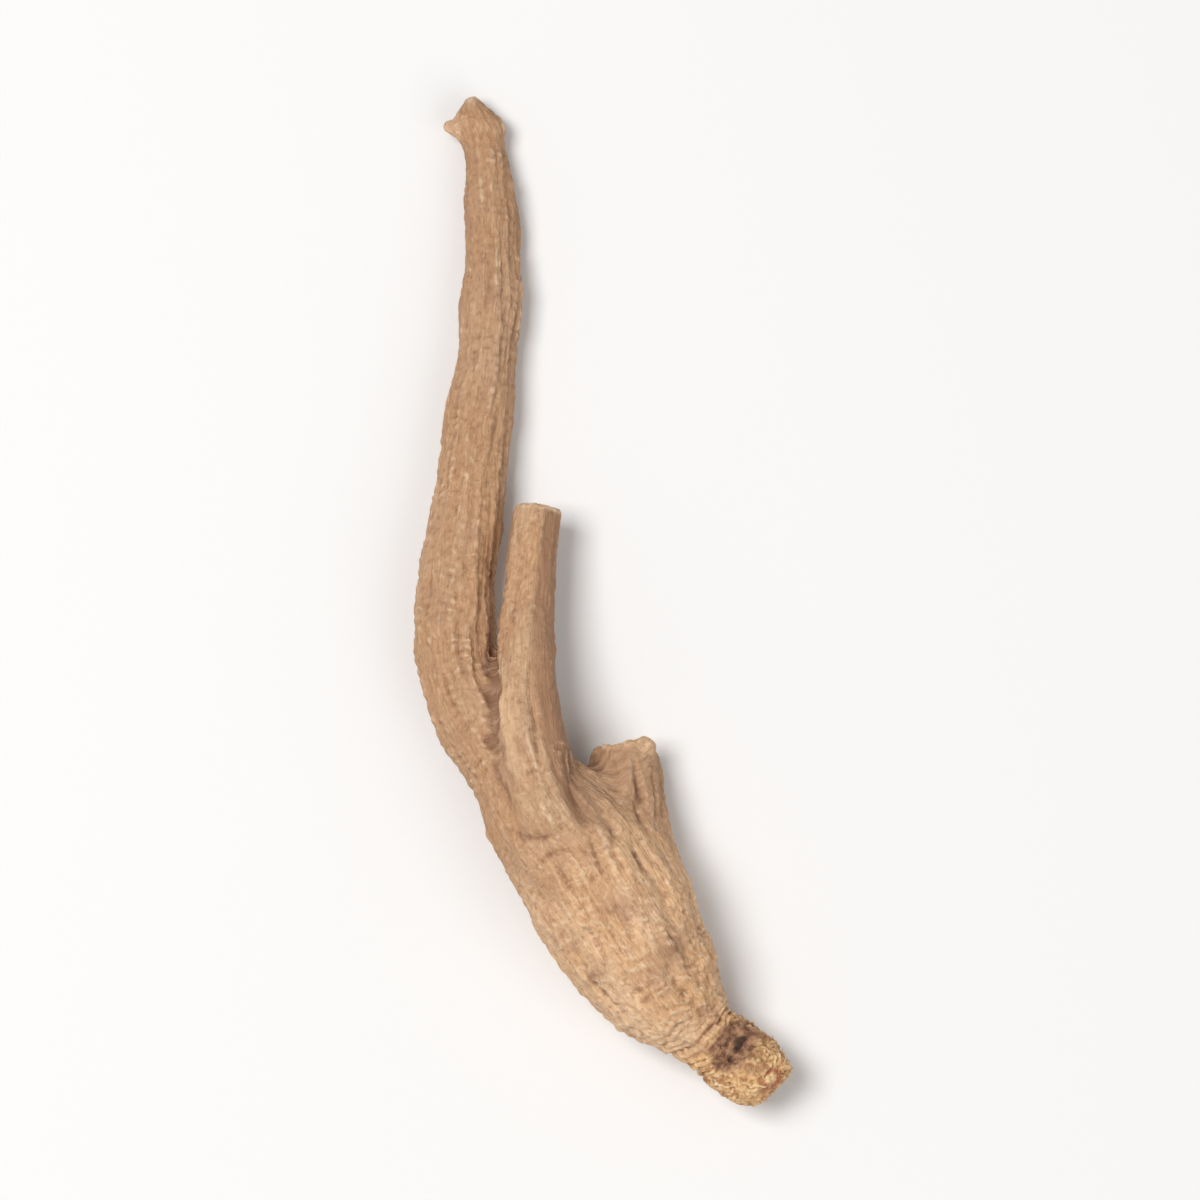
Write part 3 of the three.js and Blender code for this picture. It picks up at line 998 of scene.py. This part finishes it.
def loose_strands(skin, normals):
    """Fibres that stand out of the broken ends, a tuft, and flakes that lift off the crown."""
    draw = np.random.default_rng(STRAND_SEED)
    own = np.argmax(skin.shares, axis=0)
    from_end = skin.places[0].travelled
    on_crown = (own == 0) & (skin.points[:, 2] > LOWEST_STRAND)

    def pick(mask, count):
        return draw.choice(np.flatnonzero(mask), count)

    ends = pick(on_crown & (from_end < END_REACH), END_FIBRES)
    tuft = pick(np.linalg.norm(skin.points - TUFT_CENTRE, axis=1) < TUFT_REACH, TUFT_FIBRES)
    cuts = [
        pick((own == order) & (limbs[order].length - CUT_REACH < skin.places[order].travelled), CUT_FIBRES)
        for order in BROKEN_LIMBS
    ]
    flakes = pick(on_crown & (from_end < FLAKE_REACH) & (skin.scar < 0.3), CROWN_FLAKES)
    groups = [ends, tuft, np.concatenate(cuts), flakes]
    chosen = np.concatenate(groups)
    kinds = np.repeat(np.arange(len(groups)), [len(group) for group in groups])
    lift, lie, curl, peel, length, width, depth = STRAND_KINDS[kinds].T
    outward = normals[chosen]
    scatter = draw.normal(0.0, 1.0, (len(chosen), 3))
    flat = scatter - (scatter * outward).sum(axis=1, keepdims=True) * outward
    flat /= np.linalg.norm(flat, axis=1, keepdims=True)
    heads = lift[:, None] * outward + lie[:, None] * flat
    heads /= np.linalg.norm(heads, axis=1, keepdims=True)
    bends = curl[:, None] * draw.normal(0.0, 1.0, (len(chosen), 3)) + peel[:, None] * outward
    lengths = length * draw.uniform(0.5, 1.0, len(chosen))
    widths = width * draw.uniform(0.6, 1.0, len(chosen))
    starts = skin.points[chosen] - STRAND_SINK * outward
    return strand_mesh(starts, heads, bends, lengths, widths, depth)


fibre_mesh = loose_strands(raised_skin, read_normals(root_mesh))
fibres = add_object("frayed_fibres", fibre_mesh)
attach(fibres, "root")

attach(root, "root")
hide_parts("ginseng_root")


# Finishes

def paint(red, green, blue):
    """A colour seen on screen, from 0 to 255, as the linear colour that a shader takes."""
    seen = np.array([red, green, blue]) / 255.0
    linear = np.where(seen <= 0.04045, seen / 12.92, ((seen + 0.055) / 1.055) ** 2.4)
    return (*linear.tolist(), 1.0)


def add_node(tree, kind, inputs=None, **settings):
    """A node with its settings, and each input either linked from a socket or set to a value."""
    node = tree.nodes.new(kind)
    for name, value in settings.items():
        setattr(node, name, value)
    for name, value in (inputs or {}).items():
        if isinstance(value, bpy.types.NodeSocket):
            tree.links.new(value, node.inputs[name])
        else:
            node.inputs[name].default_value = value
    return node


def mix_paint(tree, share, first, second):
    """Two colours mixed by a share, each a socket or a paint."""
    node = add_node(tree, "ShaderNodeMix", data_type="RGBA")
    tree.links.new(share, node.inputs[0])
    for index, value in ((6, first), (7, second)):
        if isinstance(value, bpy.types.NodeSocket):
            tree.links.new(value, node.inputs[index])
        else:
            node.inputs[index].default_value = paint(*value)
    return node.outputs[2]


def layered(tree, colour, layers):
    """A colour with others laid over it in turn, each by its share."""
    for share, laid in layers:
        colour = mix_paint(tree, share, colour, laid)
    return colour


def ease(tree, value, low, high, most=1.0):
    """A value eased from 0 at low to most at high."""
    node = add_node(tree, "ShaderNodeMapRange", {
        "Value": value, "From Min": low, "From Max": high, "To Min": 0.0, "To Max": most,
    }, interpolation_type="SMOOTHSTEP")
    return node.outputs["Result"]


def reckon(tree, operation, first, second):
    """One arithmetic step on two values."""
    node = add_node(tree, "ShaderNodeMath", {0: first, 1: second}, operation=operation)
    return node.outputs["Value"]


def stretched(tree, place, along, around):
    """Grain coordinates scaled by one number along the limb and by another round it."""
    scales = (along, around, around)
    node = add_node(tree, "ShaderNodeVectorMath", {0: place, 1: scales}, operation="MULTIPLY")
    return node.outputs["Vector"]


def cloud(tree, place, scale, detail=3.0, roughness=0.55, distortion=0.0):
    """Noise from 0 to 1."""
    node = add_node(tree, "ShaderNodeTexNoise", {
        "Vector": place, "Scale": scale, "Detail": detail, "Roughness": roughness, "Distortion": distortion,
    })
    return node.outputs["Fac"]


def attribute(tree, name):
    """A vector that is kept on the mesh."""
    return add_node(tree, "ShaderNodeAttribute", attribute_name=name).outputs["Vector"]


def kept_masks(tree):
    """All masks that the mesh keeps, by name."""
    masks = {}
    for name, parts in KEPT_MASKS.items():
        split = add_node(tree, "ShaderNodeSeparateXYZ", {0: attribute(tree, name)})
        masks.update(zip(parts, split.outputs))
    return SimpleNamespace(**masks)


def new_material(name):
    """A new material, with its node tree and its shader."""
    material = bpy.data.materials.new(name)
    material.use_nodes = True
    return material, material.node_tree, material.node_tree.nodes["Principled BSDF"]


def build_fibre_streaks():
    """Fibre streaks: noise drawn out along the grain, made crisp between two levels."""
    group = bpy.data.node_groups.new("fibre_streaks", "ShaderNodeTree")
    group.interface.new_socket("Grain", in_out="INPUT", socket_type="NodeSocketVector")
    for name in ("Along", "Around", "Low", "High"):
        group.interface.new_socket(name, in_out="INPUT", socket_type="NodeSocketFloat")
    group.interface.new_socket("Streak", in_out="OUTPUT", socket_type="NodeSocketFloat")
    given = add_node(group, "NodeGroupInput").outputs
    scales = add_node(group, "ShaderNodeCombineXYZ", {
        "X": given["Along"], "Y": given["Around"], "Z": given["Around"],
    })
    drawn = add_node(group, "ShaderNodeVectorMath", {
        0: given["Grain"], 1: scales.outputs["Vector"],
    }, operation="MULTIPLY")
    streak = cloud(group, drawn.outputs["Vector"], 1.0, 4.0, 0.6, 0.3)
    add_node(group, "NodeGroupOutput", {"Streak": ease(group, streak, given["Low"], given["High"])})
    return group


def fibre_streaks(tree, grain, along, around, low, high):
    """The fibre streak group placed in a material, with its own values."""
    values = {"Grain": grain, "Along": along, "Around": around, "Low": low, "High": high}
    return add_node(tree, "ShaderNodeGroup", values, node_tree=FIBRE_STREAKS).outputs["Streak"]


def dashes(tree, grain, along, around, slant, share, seed):
    """Short dashes across the grain: the middles of stretched cells, in a share of the cells."""
    jolt = add_node(tree, "ShaderNodeTexNoise", {"Vector": grain, "Scale": 1.1, "Detail": 2.0})
    slanted = add_node(tree, "ShaderNodeMapping", {
        "Vector": grain, "Rotation": (0.0, 0.0, slant), "Scale": (along, around, around),
    }, vector_type="TEXTURE")
    jolted = add_node(tree, "ShaderNodeVectorMath", {
        0: jolt.outputs["Color"], 1: (1.3, 1.0, 1.0), 2: slanted.outputs["Vector"],
    }, operation="MULTIPLY_ADD")
    moved = add_node(tree, "ShaderNodeVectorMath", {
        0: jolted.outputs["Vector"], 1: (seed, seed, seed),
    }, operation="ADD")
    cell = add_node(tree, "ShaderNodeTexVoronoi", {"Vector": moved.outputs["Vector"], "Scale": 1.0})
    chosen = add_node(tree, "ShaderNodeSeparateColor", {"Color": cell.outputs["Color"]})
    middle = ease(tree, cell.outputs["Distance"], 0.50, 0.22)
    return reckon(tree, "MULTIPLY", middle, ease(tree, chosen.outputs["Red"], 1.0 - share, 1.05 - share))


def skin_textures(tree, tone):
    """Noises that the skin's colour and its bumps share."""
    grain = attribute(tree, "grain")
    object_place = add_node(tree, "ShaderNodeTexCoord").outputs["Object"]
    pale_dash = dashes(tree, grain, 0.55, 1.25, 0.35, 0.5, 3.0)
    dark_dash = dashes(tree, grain, 0.50, 1.10, -0.25, 0.4, 11.0)
    dash_patch = ease(tree, cloud(tree, stretched(tree, grain, 0.22, 0.30), 1.0, 2.0), 0.40, 0.62)
    return SimpleNamespace(
        grain=grain,
        object_place=object_place,
        long_streak=fibre_streaks(tree, grain, 0.16, 1.3, 0.40, 0.68),
        fine_streak=fibre_streaks(tree, grain, 0.5, 4.2, 0.40, 0.66),
        pale_dash=reckon(tree, "MULTIPLY", pale_dash, ease(tree, tone, 0.8, 0.0)),
        dark_dash=reckon(tree, "MULTIPLY", dark_dash, dash_patch),
        mottle=cloud(tree, stretched(tree, grain, 1.1, 1.5), 1.3, 4.0, 0.68, 0.4),
        crumb=cloud(tree, object_place, 1100.0, 4.0, 0.65),
    )


def bare_skin(tree, masks, noise):
    """Tan in patches, darker by tone and its painted shade, with streaks, a painted highlight on crests,
    painted shade in furrows and broad hollows, dashes, flecks, and a painted highlight on the ridges, whose
    pale paint also lies on the stub's lip.
    """
    patch = cloud(tree, stretched(tree, noise.grain, 0.10, 0.20), 1.0, 3.0)
    dull = cloud(tree, stretched(tree, noise.grain, 0.16, 0.22), 1.3, 2.0)
    speck = cloud(tree, noise.grain, 2.6, 2.0, 0.6)
    pale_fleck = ease(tree, noise.mottle, 0.53, 0.66, 0.55)
    pale_fleck = reckon(tree, "MULTIPLY", pale_fleck, ease(tree, masks.tone, 1.4, 0.0))
    lip = reckon(tree, "MULTIPLY", masks.lip, 0.8)
    # Painted highlight along the ridges, with the same pale paint on the lip round the stub's end
    ridge_highlight_and_lip = reckon(tree, "MAXIMUM", ease(tree, masks.painted_ridge_highlight, 0.06, 0.45), lip)
    ridge_highlight_and_lip = reckon(tree, "MULTIPLY", ridge_highlight_and_lip, ease(tree, noise.long_streak, 0.8, 0.1, 0.45))
    return layered(tree, PAINTS.tan, [
        (ease(tree, patch, 0.36, 0.64), PAINTS.pale_tan),
        (ease(tree, dull, 0.52, 0.70, 0.55), PAINTS.dull_tan),
        # Tone: darker skin, and painted shade on the stub and on the slim leg's +x side
        (reckon(tree, "MULTIPLY", masks.tone, 0.68), PAINTS.dark_tan_and_painted_shade),
        (reckon(tree, "MULTIPLY", noise.long_streak, 0.26), PAINTS.long_streak),
        (reckon(tree, "MULTIPLY", noise.fine_streak, 0.24), PAINTS.fine_streak),
        # Painted highlight on crests and painted shade in furrows and broad hollows, from the hollow depths
        (ease(tree, masks.fine, -0.02, -0.15, 0.5), PAINTS.painted_crest_highlight),
        (ease(tree, masks.fine, 0.02, 0.15, 0.48), PAINTS.painted_furrow_shade),
        (ease(tree, masks.broad, 0.06, 0.40, 0.60), PAINTS.painted_hollow_shade),
        (reckon(tree, "MULTIPLY", noise.pale_dash, 0.42), PAINTS.pale_dash),
        (reckon(tree, "MULTIPLY", noise.dark_dash, 0.30), PAINTS.dark_dash),
        (pale_fleck, PAINTS.pale_fleck),
        (ease(tree, noise.mottle, 0.47, 0.34, 0.55), PAINTS.dark_fleck),
        (ease(tree, speck, 0.62, 0.74, 0.32), PAINTS.speck),
        (reckon(tree, "MULTIPLY", masks.wart, 0.35), PAINTS.wart),
        (ridge_highlight_and_lip, PAINTS.painted_ridge_highlight),
    ])


def crown_bark(tree, masks, noise):
    """Gold crumbs, with a painted highlight where they stand out and painted shade where they lie deep,
    brown patches, pale flakes.
    """
    brown = cloud(tree, noise.object_place, 420.0, 2.0, 0.6)
    flake = ease(tree, masks.flake, 0.2, 0.6)
    return layered(tree, PAINTS.dark_bark, [
        (ease(tree, noise.crumb, 0.38, 0.56), PAINTS.gold_bark),
        (ease(tree, noise.crumb, 0.56, 0.70, 0.8), PAINTS.pale_bark),
        # Painted highlight where the bark stands out, painted shade where it lies deep
        (ease(tree, masks.fine, -0.01, -0.09, 0.7), PAINTS.painted_bark_highlight),
        (ease(tree, masks.fine, 0.01, 0.09, 0.7), PAINTS.painted_bark_shade),
        (ease(tree, brown, 0.50, 0.66, 0.65), PAINTS.brown_bark),
        (reckon(tree, "MULTIPLY", flake, ease(tree, noise.crumb, 0.42, 0.52, 0.9)), PAINTS.bark_flake),
    ])


def skin_bumps(tree, masks, noise):
    """Height of the finest relief: fibre lines, dashes and grit everywhere, and crumbs on the crown."""
    micro = cloud(tree, noise.object_place, 2600.0, 3.0, 0.6)
    height = reckon(tree, "MULTIPLY", noise.fine_streak, ease(tree, masks.crown, 1.0, 0.0, -0.8))
    for part, share in (
        (noise.crumb, ease(tree, masks.crown, 0.2, 1.0, 5.0)),
        (micro, 0.6),
        (noise.pale_dash, 0.6),
        (noise.dark_dash, -0.7),
    ):
        height = reckon(tree, "ADD", height, reckon(tree, "MULTIPLY", part, share))
    return height


def skin_material():
    """Dry skin, with the crown's gold bark, red flecks and dark scar, and pith in the cut ends."""
    material, tree, shader = new_material("dry_skin")
    masks = kept_masks(tree)
    noise = skin_textures(tree, masks.tone)
    crumbled = ease(tree, noise.crumb, 0.38, 0.60)
    scar = layered(tree, PAINTS.dark_scar, [
        (crumbled, PAINTS.brown_scar),
        (ease(tree, noise.crumb, 0.62, 0.70, 0.7), PAINTS.scar_crumb),
    ])
    red = ease(tree, masks.red, 0.15, 0.6)
    red_fleck = reckon(tree, "MULTIPLY", red, ease(tree, noise.crumb, 0.58, 0.46, 0.75))
    colour = layered(tree, bare_skin(tree, masks, noise), [
        (masks.crown, crown_bark(tree, masks, noise)),
        (red_fleck, PAINTS.red_fleck),
        (ease(tree, masks.scar, 0.05, 0.85), scar),
        (ease(tree, masks.core, 0.10, 0.95, 0.85), PAINTS.core),
        (masks.cut, mix_paint(tree, crumbled, PAINTS.pith, PAINTS.pale_pith)),
    ])
    tree.links.new(colour, shader.inputs["Base Color"])
    rough = add_node(tree, "ShaderNodeMapRange", {
        "Value": noise.fine_streak, "To Min": 0.62, "To Max": 0.88,
    })
    tree.links.new(rough.outputs["Result"], shader.inputs["Roughness"])
    shader.inputs["Specular IOR Level"].default_value = 0.35
    bump = add_node(tree, "ShaderNodeBump", {
        "Height": skin_bumps(tree, masks, noise), "Strength": 0.8, "Distance": 0.08 * MM,
    })
    tree.links.new(bump.outputs["Normal"], shader.inputs["Normal"])
    return material


def fibre_material():
    """Dry bare fibre: straw and cream by strand, streaked along its length."""
    material, tree, shader = new_material("frayed_fibre")
    grain = attribute(tree, "grain")
    parts = add_node(tree, "ShaderNodeSeparateXYZ", {0: grain})
    strand = add_node(tree, "ShaderNodeTexWhiteNoise", {"W": parts.outputs["Y"]}, noise_dimensions="1D")
    streak = fibre_streaks(tree, grain, 0.8, 1.6, 0.42, 0.66)
    colour = layered(tree, PAINTS.straw, [
        (strand.outputs["Value"], PAINTS.cream),
        (reckon(tree, "MULTIPLY", streak, 0.45), PAINTS.fibre_streak),
    ])
    tree.links.new(colour, shader.inputs["Base Color"])
    rough = add_node(tree, "ShaderNodeMapRange", {"Value": streak, "To Min": 0.6, "To Max": 0.85})
    tree.links.new(rough.outputs["Result"], shader.inputs["Roughness"])
    return material


FIBRE_STREAKS = build_fibre_streaks()
root_mesh.materials.clear()
root_mesh.materials.append(skin_material())
fibre_mesh.materials.append(fibre_material())

# Table, light and camera

floor_mesh = bpy.data.meshes.new("table_top")
corners = [(FLOOR_HALF * x, FLOOR_HALF * y, 0.0) for x, y in ((-1, -1), (1, -1), (1, 1), (-1, 1))]
floor_mesh.from_pydata(corners, [], [(0, 1, 2, 3)])
floor_finish, _, floor_shader = new_material("table_top")
floor_shader.inputs["Base Color"].default_value = FLOOR_COLOUR
floor_shader.inputs["Roughness"].default_value = 0.7
floor_mesh.materials.append(floor_finish)
floor = add_object("table_top", floor_mesh)


def aim(piece, place, target):
    """Puts an object at a place with its -Z axis towards the target."""
    piece.location = place
    piece.rotation_euler = (target - place).to_track_quat("-Z", "Y").to_euler()


lens = bpy.data.cameras.new("camera")
camera = bpy.data.objects.new("camera", lens)
bpy.context.scene.collection.objects.link(camera)
back = Vector((0.0, -math.cos(CAMERA_ELEVATION), math.sin(CAMERA_ELEVATION)))
aim(camera, LOOK_AT + CAMERA_DISTANCE * back, LOOK_AT)
lens.sensor_fit = "HORIZONTAL"
lens.angle = 2.0 * math.atan(0.5 * VIEW_WIDTH / CAMERA_DISTANCE)
bpy.context.scene.camera = camera


def soft_light(name, place, size, power):
    """A square area light at a place, aimed at the root."""
    data = bpy.data.lights.new(name, "AREA")
    data.shape = "SQUARE"
    data.size = size
    data.energy = power
    lamp = bpy.data.objects.new(name, data)
    bpy.context.scene.collection.objects.link(lamp)
    aim(lamp, Vector(place), LOOK_AT)


for light in LIGHTS:
    soft_light(*light)

world = bpy.data.worlds.new("studio")
world.use_nodes = True
sky = world.node_tree.nodes["Background"]
sky.inputs["Color"].default_value = (1.0, 1.0, 1.0, 1.0)
sky.inputs["Strength"].default_value = SKY_STRENGTH
bpy.context.scene.world = world
bpy.context.scene.view_settings.view_transform = "Standard"
